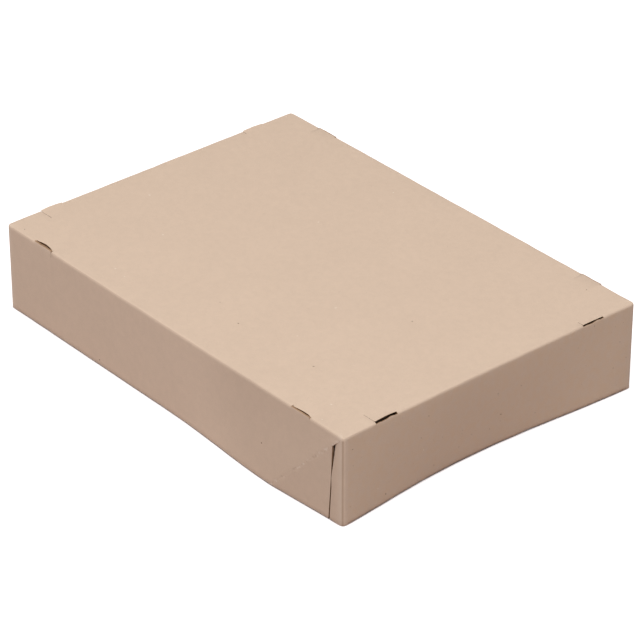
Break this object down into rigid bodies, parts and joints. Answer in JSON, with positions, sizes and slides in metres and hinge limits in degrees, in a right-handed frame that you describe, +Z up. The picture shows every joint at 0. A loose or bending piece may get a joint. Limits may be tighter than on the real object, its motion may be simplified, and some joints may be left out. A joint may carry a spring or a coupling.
{
  "type": "closed cardboard box",
  "caption": "Low two-piece kraft cardboard box, closed: a full-depth folded lid with glued corners pushed over a base tray, for flat sheets.",
  "frame": {"origin": "middle of the closed box's underside, on the surface it stands on", "axes": "+X along the long side, towards the end whose corner seams lie on the long walls; +Y along the short side; +Z up, out of the lid's top"},
  "size_m": [0.32, 0.238, 0.06],
  "materials": {
    "kraft_board": "matte"
  },
  "bodies": {
    "base": {"base_tray": "kraft_board"},
    "lid": {"lid_tray": "kraft_board"}
  },
  "joints": [
    {"name": "lid_lift", "type": "slide", "parent": "base", "child": "lid", "axis": [0, 0, 1], "range_m": [0, 0.075]}
  ]
}
